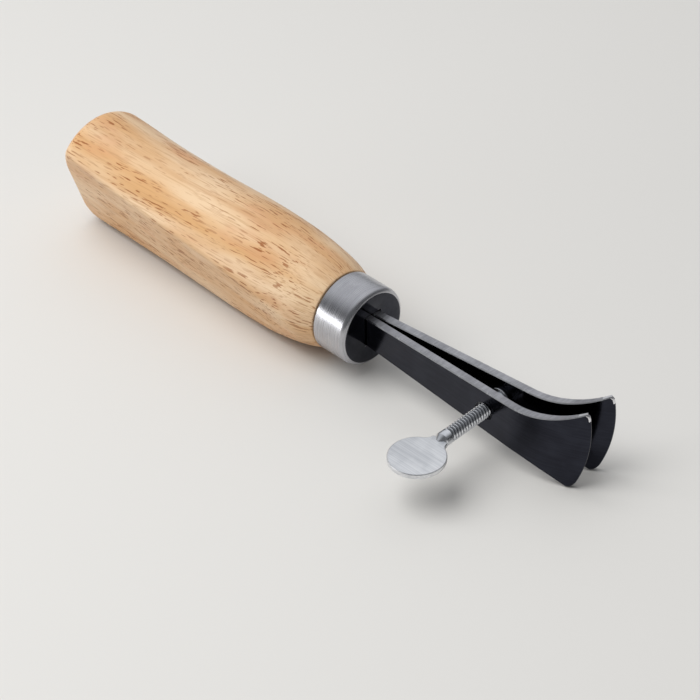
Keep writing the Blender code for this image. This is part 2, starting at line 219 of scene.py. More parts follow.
def stretched_noise(tree, coordinates, lengths_mm, turn=(0, 0, 0), detail=2.0, roughness=0.5, distortion=0.0):
    """Noise whose blobs have these lengths along X, Y and Z, in millimetres."""
    scale = [1 / (length * MM) for length in lengths_mm]
    turned = add_node(tree, "ShaderNodeMapping", {"Vector": coordinates, "Rotation": turn})
    placed = add_node(tree, "ShaderNodeMapping", {"Vector": turned.outputs["Vector"], "Scale": scale})
    settings = {"Scale": 1.0, "Detail": detail, "Roughness": roughness, "Distortion": distortion}
    noise = add_node(tree, "ShaderNodeTexNoise", {"Vector": placed.outputs["Vector"], **settings})
    return noise.outputs["Fac"]


def varnished_beech():
    """Beech, turned and sanded, under a satin varnish: pale honey wood with short brown pore flecks along the
    grain, pinkish and yellowish patches, and a soft sheen."""
    material, tree, shader = new_material("varnished_beech", IOR=1.5, Coat_Weight=0.18, Coat_Roughness=0.28)
    raw = add_node(tree, "ShaderNodeTexCoord").outputs["Object"]
    # the grain is drawn in towards the ferrule with the turned shape, so the pores stay long where it tapers
    offset = {0: raw, 1: mouth}
    from_axis = add_node(tree, "ShaderNodeVectorMath", offset, operation="SUBTRACT").outputs["Vector"]
    along = add_node(tree, "ShaderNodeSeparateXYZ", {0: from_axis}).outputs["X"]
    taper = {"Value": along, "From Min": SHOULDER - TAPER_LENGTH, "From Max": SHOULDER + TAPER_LENGTH / 2}
    taper.update({"To Min": 1.0, "To Max": GRAIN_DRAW})
    widened = add_node(tree, "ShaderNodeMapRange", taper, interpolation_type="SMOOTHSTEP").outputs["Result"]
    fitted = add_node(tree, "ShaderNodeCombineXYZ", {0: 1.0, 1: widened, 2: widened}).outputs[0]
    drawn = {0: from_axis, 1: fitted}
    place = add_node(tree, "ShaderNodeVectorMath", drawn, operation="MULTIPLY").outputs["Vector"]
    lean = (math.radians(24), math.radians(1.2), math.radians(-1.6))
    patches = stretched_noise(tree, place, (46, 9, 8), lean, detail=2.5)
    blush = stretched_noise(tree, place, (20, 6, 5), lean, detail=2.0)
    rings = stretched_noise(tree, place, (150, 2.6, 3.4), lean, detail=2.0, distortion=0.2)
    grain = stretched_noise(tree, place, (16, 0.34, 0.34), lean, detail=1.0)
    # pores are about 0.4 mm wide and 4 mm long and lie in clusters
    pore = stretched_noise(tree, place, (4.2, 0.42, 0.42), lean, detail=1.0)
    cluster = stretched_noise(tree, place, (24, 5, 4), lean, detail=1.0)
    colour = linear("#E3C49E")
    # each tint covers its pattern from a low to a high value, up to a greatest share
    tints = (
        (patches, 0.36, 0.64, 1.0, "#D2A471"),
        (blush, 0.54, 0.76, 0.5, "#CF9468"),
        (rings, 0.45, 0.75, 0.4, "#BE8C5A"),
        (grain, 0.50, 0.75, 0.45, "#B38452"),
    )
    for pattern, low, high, most, tint in tints:
        reach = {"Value": pattern, "From Min": low, "From Max": high, "To Max": most}
        share = add_node(tree, "ShaderNodeMapRange", reach, interpolation_type="SMOOTHSTEP").outputs["Result"]
        # sockets 6 and 7 of a colour mix are its two colours, and output 2 is the result
        colours = {0: share, 6: colour, 7: linear(tint)}
        colour = add_node(tree, "ShaderNodeMix", colours, data_type="RGBA").outputs[2]
    reach = {"Value": pore, "From Min": 0.57, "From Max": 0.66}
    open_pore = add_node(tree, "ShaderNodeMapRange", reach, interpolation_type="SMOOTHSTEP").outputs["Result"]
    reach = {"Value": cluster, "From Min": 0.34, "From Max": 0.58, "To Min": 0.22}
    clustered = add_node(tree, "ShaderNodeMapRange", reach, interpolation_type="SMOOTHSTEP").outputs["Result"]
    fleck = add_node(tree, "ShaderNodeMath", {0: open_pore, 1: clustered}, operation="MULTIPLY").outputs[0]
    covered = add_node(tree, "ShaderNodeMath", {0: fleck, 1: 0.9}, operation="MULTIPLY").outputs[0]
    brown = {0: covered, 6: colour, 7: linear("#985A28")}
    flecked = add_node(tree, "ShaderNodeMix", brown, data_type="RGBA").outputs[2]
    tree.links.new(flecked, shader.inputs["Base Color"])
    # an open pore is rougher than the varnish round it, and slightly sunk
    reach = {"Value": patches, "From Min": 0.3, "From Max": 0.7, "To Min": 0.40, "To Max": 0.50}
    gloss = add_node(tree, "ShaderNodeMapRange", reach, interpolation_type="SMOOTHSTEP").outputs["Result"]
    rougher = {0: fleck, 1: 0.15, 2: gloss}
    roughness = add_node(tree, "ShaderNodeMath", rougher, operation="MULTIPLY_ADD").outputs[0]
    tree.links.new(roughness, shader.inputs["Roughness"])
    sunk = {0: grain, 1: 0.35, 2: fleck}
    hollow = add_node(tree, "ShaderNodeMath", sunk, operation="MULTIPLY_ADD").outputs[0]
    relief = {"Strength": 0.5, "Distance": 0.05 * MM, "Height": hollow}
    bump = add_node(tree, "ShaderNodeBump", relief, invert=True)
    tree.links.new(bump.outputs["Normal"], shader.inputs["Normal"])
    return material


def steel(name, colour, dark_colour, roughness, line_mm, depth_mm, strength=0.35):
    """Steel with fine lines: line_mm are the lengths of one line along X, Y and Z."""
    material, tree, shader = new_material(name, Metallic=1.0)
    place = add_node(tree, "ShaderNodeTexCoord").outputs["Object"]
    lines = stretched_noise(tree, place, line_mm, detail=2.0, roughness=0.6)
    clouds = stretched_noise(tree, place, (5, 5, 5), detail=2.0)
    levels = {}
    for level, pattern, low, high, least, most in (
        ("lined", lines, 0.3, 0.7, 0.0, 0.6),
        ("clouded", clouds, 0.35, 0.65, 0.0, 0.4),
        ("varied", lines, 0.25, 0.75, roughness * 0.85, roughness * 1.2),
    ):
        reach = {"Value": pattern, "From Min": low, "From Max": high, "To Min": least, "To Max": most}
        ranged = add_node(tree, "ShaderNodeMapRange", reach, interpolation_type="SMOOTHSTEP")
        levels[level] = ranged.outputs["Result"]
    both = {0: levels["lined"], 1: levels["clouded"]}
    share = add_node(tree, "ShaderNodeMath", both, operation="ADD").outputs[0]
    colours = {0: share, 6: linear(dark_colour), 7: linear(colour)}
    shaded = add_node(tree, "ShaderNodeMix", colours, data_type="RGBA").outputs[2]
    tree.links.new(shaded, shader.inputs["Base Color"])
    tree.links.new(levels["varied"], shader.inputs["Roughness"])
    inputs = {"Strength": strength, "Distance": depth_mm * MM, "Height": lines}
    bump = add_node(tree, "ShaderNodeBump", inputs)
    tree.links.new(bump.outputs["Normal"], shader.inputs["Normal"])
    return material


def set_resin():
    """Epoxy that has set round the tangs: amber and slightly cloudy."""
    material, tree, shader = new_material("set_epoxy", Roughness=0.35, IOR=1.52)
    clouds = stretched_noise(tree, add_node(tree, "ShaderNodeTexCoord").outputs["Object"], (3, 3, 3))
    ambers = {0: clouds, 6: linear("#A8873F"), 7: linear("#C9A65A")}
    cloudy = add_node(tree, "ShaderNodeMix", ambers, data_type="RGBA").outputs[2]
    tree.links.new(cloudy, shader.inputs["Base Color"])
    return material


beech = varnished_beech()
# stainless steel turned on a lathe: fine rings round the axis, drawn coarse enough to show
turned_steel = steel("satin_turned_steel", "#C4C4C8", "#ACACB1", 0.28, (0.22, 12, 12), 0.012, 0.16)
# the same steel, buffed to a mirror with faint swirls, its colour painted dark: a painted reflection of a
# dark bench
buffed_steel_painted_reflection = steel("buffed_face_painted_dark_reflection", "#3C3D44", "#33343A", 0.12, (3, 1.2, 1.2), 0.004, 0.15)
# spring steel, ground and polished, with hairlines along the blade, its colour painted dark: a painted
# reflection of a dark bench
polished_steel_painted_reflection = steel("polished_spring_steel_painted_dark_reflection", "#34363F", "#2A2B33", 0.16, (9, 9, 0.35), 0.004, 0.2)
# the blade's edges as the grinding belt left them, with marks across the edge
ground_steel = steel("ground_spring_steel", "#C0C0C4", "#8E8E93", 0.40, (0.3, 5, 5), 0.02, 0.5)
# the small facets that were broken on every edge: smooth, their colour painted brighter than the steel's own
# as a painted highlight
facet_steel_painted_highlight = steel("steel_facet_painted_highlight", "#F2F2F4", "#E2E2E6", 0.24, (2, 2, 2), 0.004, 0.1)
# nickel-plated brass or steel head, linished in one direction before plating
plated_head = steel("nickel_plated_linished", "#F2F3F5", "#CBCDD1", 0.34, (14, 0.3, 0.3), 0.012, 0.5)
# nickel-plated thread: bright crests in the plating's own colour
plated_thread = steel("nickel_plated_thread", "#E4E6EA", "#D0D3D8", 0.22, (1.2, 1.2, 1.2), 0.006, 0.2)
# the bottom of the thread, painted darker than the plating: a painted shade in the groove
thread_groove_painted_shade = steel("groove_steel_painted_shade", "#8E9096", "#6C6E74", 0.34, (0.8, 0.8, 0.8), 0.006, 0.2)
epoxy = set_resin()


# Mesh tools


def finished(name, mesh_data, materials, place=None, sharp_degrees=30.0):
    """Turns a bmesh into an object whose place is in its mesh."""
    mesh = bpy.data.meshes.new(name)
    bmesh.ops.recalc_face_normals(mesh_data, faces=mesh_data.faces)
    mesh_data.to_mesh(mesh)
    mesh_data.free()
    for material in materials:
        mesh.materials.append(material)
    if place is not None:
        mesh.transform(place)
    mesh.shade_smooth()
    mesh.set_sharp_from_angle(angle=math.radians(sharp_degrees))
    obj = bpy.data.objects.new(name, mesh)
    bpy.context.scene.collection.objects.link(obj)
    return obj


def baked(obj, sharp_degrees=30.0):
    """Applies an object's modifiers to its mesh and removes them."""
    graph = bpy.context.evaluated_depsgraph_get()
    mesh = bpy.data.meshes.new_from_object(obj.evaluated_get(graph))
    obj.modifiers.clear()
    old = obj.data
    obj.data = mesh
    bpy.data.meshes.remove(old)
    mesh.name = obj.name
    mesh.shade_smooth()
    mesh.set_sharp_from_angle(angle=math.radians(sharp_degrees))
    return obj


def cut(obj, cutter):
    boolean = obj.modifiers.new("cut", "BOOLEAN")
    boolean.operation = "DIFFERENCE"
    boolean.solver = "EXACT"
    boolean.object = cutter


def loft_rings(rings):
    """A closed skin through rings of points. A ring of one point is a pole."""
    mesh = bmesh.new()
    loops = [[mesh.verts.new(point) for point in ring] for ring in rings]
    for first, second in zip(loops, loops[1:]):
        count = max(len(first), len(second))
        for i in range(count):
            j = (i + 1) % count
            corners = [first[i % len(first)], first[j % len(first)]]
            corners += [second[j % len(second)], second[i % len(second)]]
            mesh.faces.new(list(dict.fromkeys(corners)))
    return mesh


def ring(x, radius_at, sides):
    angles = [2 * math.pi * i / sides for i in range(sides)]
    return [(x, radius_at(a) * math.cos(a), radius_at(a) * math.sin(a)) for a in angles]


def turned(outline, sides):
    """A body turned about the X axis from (x, radius) points, with a flat cap at each end of the outline."""
    mesh = loft_rings([ring(x, lambda angle, r=radius: r, sides) for x, radius in outline])
    mesh.verts.ensure_lookup_table()
    mesh.faces.new([mesh.verts[i] for i in range(sides)])
    mesh.faces.new([mesh.verts[i] for i in range(len(mesh.verts) - sides, len(mesh.verts))])
    return mesh


def arc(centre, radius, start, end, steps):
    """Points on an arc, angles in degrees."""
    angles = [math.radians(start + (end - start) * i / steps) for i in range(steps + 1)]
    return [(centre[0] + radius * math.cos(a), centre[1] + radius * math.sin(a)) for a in angles]


def smooth_through(points, at):
    """Catmull-Rom height at a place, through (place, height) points in rising order."""
    last = len(points) - 1
    k = 0
    while k < last - 1 and at > points[k + 1][0]:
        k += 1
    (x0, y0), (x1, y1) = points[k], points[k + 1]
    before = points[max(k - 1, 0)]
    after = points[min(k + 2, last)]
    slope0 = (y1 - before[1]) / (x1 - before[0])
    slope1 = (after[1] - y0) / (after[0] - x0)
    span = x1 - x0
    t = (at - x0) / span
    rise = (2 * t**3 - 3 * t**2 + 1) * y0 + (3 * t**2 - 2 * t**3) * y1
    return rise + ((t**3 - 2 * t**2 + t) * slope0 + (t**3 - t**2) * slope1) * span


# Handle


def rounded_inset(from_end, radius):
    """How far a rounded edge draws in, at this distance from the end."""
    inset = max(radius - from_end, 0.0)
    return radius - math.sqrt(max(radius**2 - inset**2, 0.0)) if inset else 0.0


def handle_radius(back, angle):
    """The turned radius, cut by the two side flats, whose upper ridges are worn softer near the butt."""
    from_end = HANDLE_LENGTH - back
    radius = smooth_through(HANDLE_PROFILE, back / MM) * MM - rounded_inset(from_end, BUTT_ROUNDING)
    depth = FLAT_DEPTH_AT_BUTT + FLAT_TAPER * from_end
    wear = max(1 - from_end / BUTT_WEAR_LENGTH, 0.0) ** 2 * (0.5 + math.sin(angle) / 2)
    softness = RIDGE_ROUNDING + (BUTT_RIDGE_ROUNDING - RIDGE_ROUNDING) * wear
    for facing in (-FLAT_TURN, math.pi + FLAT_TURN):
        lean = math.cos(angle - facing)
        if lean <= FLAT_REACH:
            continue
        to_flat = depth / lean
        overlap = max(softness - abs(radius - to_flat), 0.0) / softness
        radius = min(radius, to_flat) - overlap**2 * softness / 4
    return radius - rounded_inset(from_end, FLAT_END_ROUNDING) - rounded_inset(back, RIM_ROUNDING)


def make_handle():
    front = -FERRULE_FRONT_WALL - 2 * TOUCH_GAP
    rings = [[(front - BORE_LENGTH, 0, 0)]]
    inner = ((front - BORE_LENGTH, BORE_RADIUS), (front, BORE_RADIUS))
    inner += ((front, TENON_RADIUS), (SHOULDER, TENON_RADIUS))
    for x, radius in inner:
        rings.append(ring(x, lambda angle, r=radius: r, HANDLE_SIDES))
    bends = [math.sin(math.pi / 2 * i / BUTT_STEPS) for i in range(BUTT_STEPS + 1)]
    plain = HANDLE_LENGTH - BUTT_ROUNDING - RIM_ROUNDING
    count = round(plain / HANDLE_STEP)
    stations = [RIM_ROUNDING * (1 - bend) for bend in reversed(bends[::2])]
    stations += [RIM_ROUNDING + plain * i / count for i in range(1, count)]
    stations += [HANDLE_LENGTH - BUTT_ROUNDING * (1 - bend) for bend in bends]
    for back in stations:
        rings.append(ring(SHOULDER - back, lambda angle, b=back: handle_radius(b, angle), HANDLE_SIDES))
    rim = rings[-1]
    for share in CAP_RINGS:
        rings.append([(x, y * share, z * share) for x, y, z in rim])
    rings.append([(SHOULDER - HANDLE_LENGTH, 0, 0)])
    place = Matrix.Translation(mouth)
    return finished("wooden_handle", loft_rings(rings), [beech], place, HANDLE_SHARP_DEGREES)


# Ferrule


def make_ferrule():
    corner = (-FERRULE_FRONT_ROUNDING, FERRULE_RADIUS - FERRULE_FRONT_ROUNDING)
    outline = [(-FERRULE_FRONT_WALL, FERRULE_BORE), (-FERRULE_LENGTH, FERRULE_BORE)]
    outline.append((-FERRULE_LENGTH, FERRULE_RADIUS - FERRULE_BACK_CHAMFER))
    back_corner = (-FERRULE_LENGTH + FERRULE_BACK_CHAMFER, FERRULE_RADIUS - FERRULE_BACK_CHAMFER)
    outline += arc(back_corner, FERRULE_BACK_CHAMFER, 180, 90, FERRULE_BACK_STEPS)[1:]
    outline += [(x, FERRULE_RADIUS) for x in FERRULE_SIDE_RINGS]
    outline += arc(corner, FERRULE_FRONT_ROUNDING, 90, 0, FERRULE_FRONT_STEPS)
    body = turned(outline, HANDLE_SIDES)
    bmesh.ops.recalc_face_normals(body, faces=body.faces)
    # the front face takes the dark buffed steel, a painted reflection
    for face in body.faces:
        face.material_index = int(face.normal.x > FRONT_FACING)
    ferrule = finished("steel_ferrule", body, [turned_steel, buffed_steel_painted_reflection])
    half_width = HALF_GAP_AT_FERRULE + BLADE_THICKNESS + TOUCH_GAP
    half_height = BLADE_HALF_WIDTH + TOUCH_GAP
    slot = bmesh.new()
    bmesh.ops.create_cube(slot, size=2.0)
    size = Matrix.Diagonal((2 * FERRULE_FRONT_WALL, half_width, half_height, 1.0))
    bmesh.ops.transform(slot, matrix=size, verts=slot.verts)
    cutter = finished("slot_cutter", slot, [turned_steel])
    cut(ferrule, cutter)
    edge = ferrule.modifiers.new("slot_break", "BEVEL")
    edge.width = SLOT_BREAK
    edge.segments = SLOT_BREAK_STEPS
    edge.angle_limit = math.radians(SLOT_BREAK_DEGREES)
    baked(ferrule)
    bpy.data.objects.remove(cutter)
    ferrule.data.transform(Matrix.Translation(mouth))
    return ferrule


# Blades


def blade_half_width(s, flare):
    if s < 0:
        return BLADE_HALF_WIDTH + (BLADE_HALF_WIDTH - TANG_END_HALF_WIDTH) * s / TANG_LENGTH
    return BLADE_HALF_WIDTH + BLADE_WIDENING * s + flare * max(s - FLARE_START, 0.0) ** 2


def blade_height(s, across):
    """Height of a line along the blade; across runs from 0 at the lower edge to 1 at the upper edge."""
    low = -blade_half_width(s, BOTTOM_FLARE)
    high = blade_half_width(s, TOP_FLARE)
    return low + (high - low) * across


def tip_reach(z):
    """Where the curved front edge lies at a height, with both corners rounded."""
    rise = z - TIP_ARC_HEIGHT
    reach = TIP_REACH - TIP_ARC_RADIUS + math.sqrt(TIP_ARC_RADIUS**2 - rise**2)
    top = blade_half_width(TIP_REACH, TOP_FLARE)
    bottom = blade_half_width(TIP_REACH - 2 * TIP_BOTTOM_CORNER, BOTTOM_FLARE)
    for inside, corner in ((top - z, TIP_TOP_CORNER), (bottom + z, TIP_BOTTOM_CORNER)):
        inset = min(max(corner - inside, 0.0), corner)
        reach -= corner - math.sqrt(corner**2 - inset**2)
    return reach


def blade_end(across):
    """Length of the line that runs along the blade at this share of its width, found by repeated halving."""
    s = TIP_REACH
    for _ in range(40):
        s = (s + tip_reach(blade_height(s, across))) / 2
    return s


def half_thickness(s):
    share = min(max((s - THIN_START) / (TIP_REACH - THIN_START), 0.0), 1.0)
    return (BLADE_THICKNESS + (TIP_THICKNESS - BLADE_THICKNESS) * share) / 2


def blade_point(s, z, offset, hinge, turn):
    """A point of a blade. The tang lies along X; past the mouth the blade splays, then bends to +Y."""
    if s < 0:
        return hinge + Vector((s, offset, z))
    x, y = s, offset
    if s > BEND_START:
        bend = (s - BEND_START) / BEND_RADIUS
        x = BEND_START + (BEND_RADIUS - offset) * math.sin(bend)
        y = BEND_RADIUS - (BEND_RADIUS - offset) * math.cos(bend)
    return hinge + Matrix.Rotation(turn, 3, "Z") @ Vector((x, y, z))


def make_blade(name, hinge, turn):
    """One strip from the end of its tang to its tip, with small facets on its edges and a rounded front."""
    columns = [(0.0, 0.0, ARRIS), (0.0, ARRIS, 0.0)]
    columns += [(i / FACES_ACROSS, 0.0, 0.0) for i in range(1, FACES_ACROSS)]
    columns += [(1.0, -ARRIS, 0.0), (1.0, 0.0, ARRIS)]
    ends = [blade_end(column[0]) for column in columns]
    rows = [("tang", -TANG_LENGTH * (1 - i / TANG_ROWS)) for i in range(TANG_ROWS)]
    rows += [("body", i / BODY_ROWS) for i in range(BODY_ROWS + 1)]
    rows += [("round", math.pi / 2 * i / ROUND_STEPS) for i in range(1, ROUND_STEPS + 1)]
    grids = []
    for side in (-1, 1):
        grid = []
        for kind, amount in rows:
            line = []
            for (across, inset, thinner), end in zip(columns, ends):
                if kind == "tang":
                    s, reduced = amount, 0.0
                elif kind == "body":
                    s, reduced = (end - TIP_EDGE_ROUNDING) * amount, 0.0
                else:
                    s = end - TIP_EDGE_ROUNDING * (1 - math.sin(amount))
                    reduced = TIP_EDGE_ROUNDING * (1 - math.cos(amount))
                z = blade_height(s, across) + inset
                half = half_thickness(s) - max(thinner, reduced)
                line.append(blade_point(s, z, side * half, hinge, turn))
            grid.append(line)
        grids.append(grid)
    mesh = bmesh.new()
    near, far = [[[mesh.verts.new(point) for point in line] for line in grid] for grid in grids]
    last_row, last_column = len(rows) - 1, len(columns) - 1
    for grid in (near, far):
        for i in range(last_row):
            for k in range(last_column):
                face = mesh.faces.new((grid[i][k], grid[i + 1][k], grid[i + 1][k + 1], grid[i][k + 1]))
                # the facets take the facet steel, painted bright as a highlight
                on_facet = k in (0, last_column - 1)
                # the upper tip corner takes it too, a painted highlight
                at_corner = i >= last_row - ROUND_STEPS and k >= last_column - CORNER_COLUMNS
                face.material_index = 2 if on_facet or at_corner else 0
    for i in range(last_row):
        for k in (0, last_column):
            edge = mesh.faces.new((near[i][k], near[i + 1][k], far[i + 1][k], far[i][k]))
            # the upper edge near the tip is painted bright, a painted highlight
            edge.material_index = 2 if k and i >= last_row - CORNER_ROWS else 1
    for i in (0, last_row):
        for k in range(last_column):
            end = mesh.faces.new((near[i][k], near[i][k + 1], far[i][k + 1], far[i][k]))
            # and so is the end's upper corner, a painted highlight
            end.material_index = 2 if i and k >= last_column - CORNER_COLUMNS else 0
    # the faces' polished steel is painted dark, a painted reflection; the facet steel is a painted highlight
    materials = [polished_steel_painted_reflection, ground_steel, facet_steel_painted_highlight]
    return finished(name, mesh, materials, sharp_degrees=BLADE_SHARP_DEGREES)


def across_blade(hinge, turn, along):
    """The place of a body built along +X, moved to run along +Y through a blade."""
    at_hinge = Matrix.Translation(hinge) @ Matrix.Rotation(turn, 4, "Z")
    return at_hinge @ Matrix.Translation((along, 0, 0)) @ Matrix.Rotation(math.pi / 2, 4, "Z")


def cut_screw_hole(blade):
    body = turned([(-HOLE_CUTTER_REACH, 1.0), (HOLE_CUTTER_REACH, 1.0)], HOLE_SIDES)
    stretch = Matrix.Diagonal((1.0, HOLE_HALF_LENGTH, HOLE_HALF_HEIGHT, 1.0))
    place = across_blade(near_hinge, -splay, SCREW_AT + HOLE_SHIFT)
    cutter = finished("hole_cutter", body, [ground_steel], place @ stretch)
    cut(blade, cutter)
    baked(blade, BLADE_SHARP_DEGREES)
    bpy.data.objects.remove(cutter)


def make_pad():
    back = -BLADE_THICKNESS / 2 - TOUCH_GAP / 2
    front = back - PAD_THICKNESS
    outline = [(front, PAD_RADIUS / 3)]
    outline += arc((front + PAD_ROUNDING, PAD_RADIUS - PAD_ROUNDING), PAD_ROUNDING, 180, 90, PAD_STEPS)
    outline += [(back, PAD_RADIUS)]
    place = across_blade(far_hinge, splay, SCREW_AT)
    return finished("screw_bearing_pad", turned(outline, PAD_SIDES), [plated_thread], place)


# Thumb screw


def thread_tree():
    """Geometry nodes for a screw shank along +X: a grid rolled round the axis, its radius from the thread."""
    tree = bpy.data.node_groups.new("threaded_shank", "GeometryNodeTree")
    socket = tree.interface.new_socket
    socket("Geometry", in_out="OUTPUT", socket_type="NodeSocketGeometry")
    for name in ("Length", "Crest Radius", "Depth", "Pitch", "Thread Start", "Thread End", "Tip Rounding",
                 "Cone Start", "Root Radius"):
        socket(name, in_out="INPUT", socket_type="NodeSocketFloat")
    for name in ("Rows", "Sides"):
        socket(name, in_out="INPUT", socket_type="NodeSocketInt")
    for name in ("Crest Material", "Groove Painted Shade Material"):
        socket(name, in_out="INPUT", socket_type="NodeSocketMaterial")
    given = add_node(tree, "NodeGroupInput").outputs

    grid = add_node(tree, "GeometryNodeMeshGrid", {
        "Size X": given["Length"], "Size Y": 2 * math.pi,
        "Vertices X": given["Rows"], "Vertices Y": given["Sides"]})
    position = add_node(tree, "GeometryNodeInputPosition").outputs[0]
    spot = add_node(tree, "ShaderNodeSeparateXYZ", {0: position})
    made = {socket.name: socket for socket in given if socket.name}
    made.update({"grid x": spot.outputs[0], "angle": spot.outputs[1]})
    # each row is a result's name, an operation, and the names or numbers it works on
    for name, operation, *terms in (
        ("along", "MULTIPLY_ADD", "Length", 0.5, "grid x"),
        ("turns round", "DIVIDE", "angle", 2 * math.pi),
        ("turns along", "DIVIDE", "along", "Pitch"),
        ("turns", "ADD", "turns along", "turns round"),
        ("in turn", "FRACT", "turns"),
        ("swing", "MULTIPLY_ADD", "in turn", 2.0, -1.0),
        ("ramp", "ABSOLUTE", "swing"),
        ("past crest", "SUBTRACT", "ramp", CREST_END),
        ("flank", "DIVIDE", "past crest", ROOT_START - CREST_END),
        ("sunk flank", "MAXIMUM", "flank", 0.0),
        ("groove", "MINIMUM", "sunk flank", 1.0),
        ("from start", "SUBTRACT", "along", "Thread Start"),
        ("to end", "SUBTRACT", "Thread End", "along"),
        ("nearer end", "MINIMUM", "from start", "to end"),
        ("inside", "DIVIDE", "nearer end", "Pitch"),
        ("faded in", "MAXIMUM", "inside", 0.0),
        ("fade", "MINIMUM", "faded in", 1.0),
        ("faded groove", "MULTIPLY", "groove", "fade"),
        ("sunk", "MULTIPLY", "faded groove", "Depth"),
        ("threaded", "SUBTRACT", "Crest Radius", "sunk"),
        # the tip is a quarter round
        ("tip share", "DIVIDE", "along", "Tip Rounding"),
        ("short", "MINIMUM", "tip share", 1.0),
        ("short of", "SUBTRACT", 1.0, "short"),
        ("squared", "POWER", "short of", 2.0),
        ("rest", "SUBTRACT", 1.0, "squared"),
        ("bend", "SQRT", "rest"),
        ("drawn in", "SUBTRACT", "bend", 1.0),
        ("rounded", "MULTIPLY_ADD", "drawn in", "Tip Rounding", "threaded"),
        # the other end is a cone
        ("cone length", "SUBTRACT", "Length", "Cone Start"),
        ("past start", "SUBTRACT", "along", "Cone Start"),
        ("cone share", "DIVIDE", "past start", "cone length"),
        ("cone share up", "MAXIMUM", "cone share", 0.0),
        ("cone drop", "SUBTRACT", "Root Radius", "Crest Radius"),
        ("narrowing", "MULTIPLY_ADD", "cone share up", "cone drop", "Crest Radius"),
        ("shaped", "MINIMUM", "rounded", "narrowing"),
        # the first and the last row close on the axis
        ("last row", "SUBTRACT", "Length", ROW_MARGIN),
        ("before last", "LESS_THAN", "along", "last row"),
        ("after first", "GREATER_THAN", "along", ROW_MARGIN),
        ("open row", "MULTIPLY", "before last", "after first"),
        ("radius", "MULTIPLY", "shaped", "open row"),
        ("cosine", "COSINE", "angle"),
        ("sine", "SINE", "angle"),
        ("y", "MULTIPLY", "radius", "cosine"),
        ("z", "MULTIPLY", "radius", "sine"),
    ):
        inputs = {i: made[term] if isinstance(term, str) else term for i, term in enumerate(terms)}
        made[name] = add_node(tree, "ShaderNodeMath", inputs, operation=operation).outputs[0]
    place = add_node(tree, "ShaderNodeCombineXYZ", {0: made["along"], 1: made["y"], 2: made["z"]})
    kept = add_node(tree, "GeometryNodeCaptureAttribute", {"Geometry": grid.outputs["Mesh"]})
    kept.capture_items.new("FLOAT", "Groove")
    tree.links.new(made["faded groove"], kept.inputs["Groove"])
    rolled = add_node(tree, "GeometryNodeSetPosition", {
        "Geometry": kept.outputs["Geometry"], "Position": place.outputs[0]})
    closed = add_node(tree, "GeometryNodeMergeByDistance", {
        "Geometry": rolled.outputs[0], "Distance": MERGE_DISTANCE})
    plain = add_node(tree, "GeometryNodeRealizeInstances", {"Geometry": closed.outputs[0]})
    bright = add_node(tree, "GeometryNodeSetMaterial", {
        "Geometry": plain.outputs[0], "Material": given["Crest Material"]})
    # the deep part of each groove takes the darker material, a painted shade
    in_groove = {0: kept.outputs["Groove"], 1: GROOVE_SHARE}
    deep = add_node(tree, "ShaderNodeMath", in_groove, operation="GREATER_THAN").outputs[0]
    painted = add_node(tree, "GeometryNodeSetMaterial", {
        "Geometry": bright.outputs[0], "Selection": deep, "Material": given["Groove Painted Shade Material"]})
    add_node(tree, "NodeGroupOutput", {"Geometry": painted.outputs[0]})
    return tree


def make_shank(place):
    length = SHANK_END + CONE_LENGTH
    holder = bpy.data.objects.new("thumb_screw_shank", bpy.data.meshes.new("thumb_screw_shank"))
    bpy.context.scene.collection.objects.link(holder)
    modifier = holder.modifiers.new("thread", "NODES")
    modifier.node_group = thread_tree()
    sizes = {
        "Length": length, "Crest Radius": THREAD_RADIUS, "Depth": THREAD_DEPTH, "Pitch": THREAD_PITCH,
        "Thread Start": THREAD_START, "Thread End": THREAD_END, "Tip Rounding": TIP_ROUNDING,
        "Cone Start": SHANK_END, "Root Radius": CONE_END_RADIUS,
        "Rows": round(length / THREAD_PITCH * ROWS_PER_TURN), "Sides": THREAD_SIDES + 1,
        "Crest Material": plated_thread, "Groove Painted Shade Material": thread_groove_painted_shade,
    }
    for item in modifier.node_group.interface.items_tree:
        if item.in_out == "INPUT":
            modifier[item.identifier] = sizes[item.name]
    bpy.context.view_layer.update()
    baked(holder, THREAD_SHARP_DEGREES)
    loose = bmesh.new()
    loose.from_mesh(holder.data)
    bmesh.ops.remove_doubles(loose, verts=loose.verts, dist=LOOSE_DISTANCE)
    bmesh.ops.dissolve_degenerate(loose, edges=loose.edges, dist=LOOSE_DISTANCE)
    bmesh.ops.recalc_face_normals(loose, faces=loose.faces)
    loose.to_mesh(holder.data)
    loose.free()
    holder.data.transform(place)
    return holder


def spade_outline():
    """Half of the head's outline above its centre line: a neck fillet, then the round of the head."""
    rise = NECK_HALF_WIDTH + NECK_FILLET
    reach = HEAD_RADIUS + NECK_FILLET
    back = math.sqrt(reach**2 - rise**2)
    meet = math.degrees(math.atan2(-rise, back))
    points = arc((HEAD_CENTRE - back, rise), NECK_FILLET, -90, meet, NECK_STEPS)
    return points + arc((HEAD_CENTRE, 0), HEAD_RADIUS, 180 + meet, 0, HEAD_STEPS)[1:]


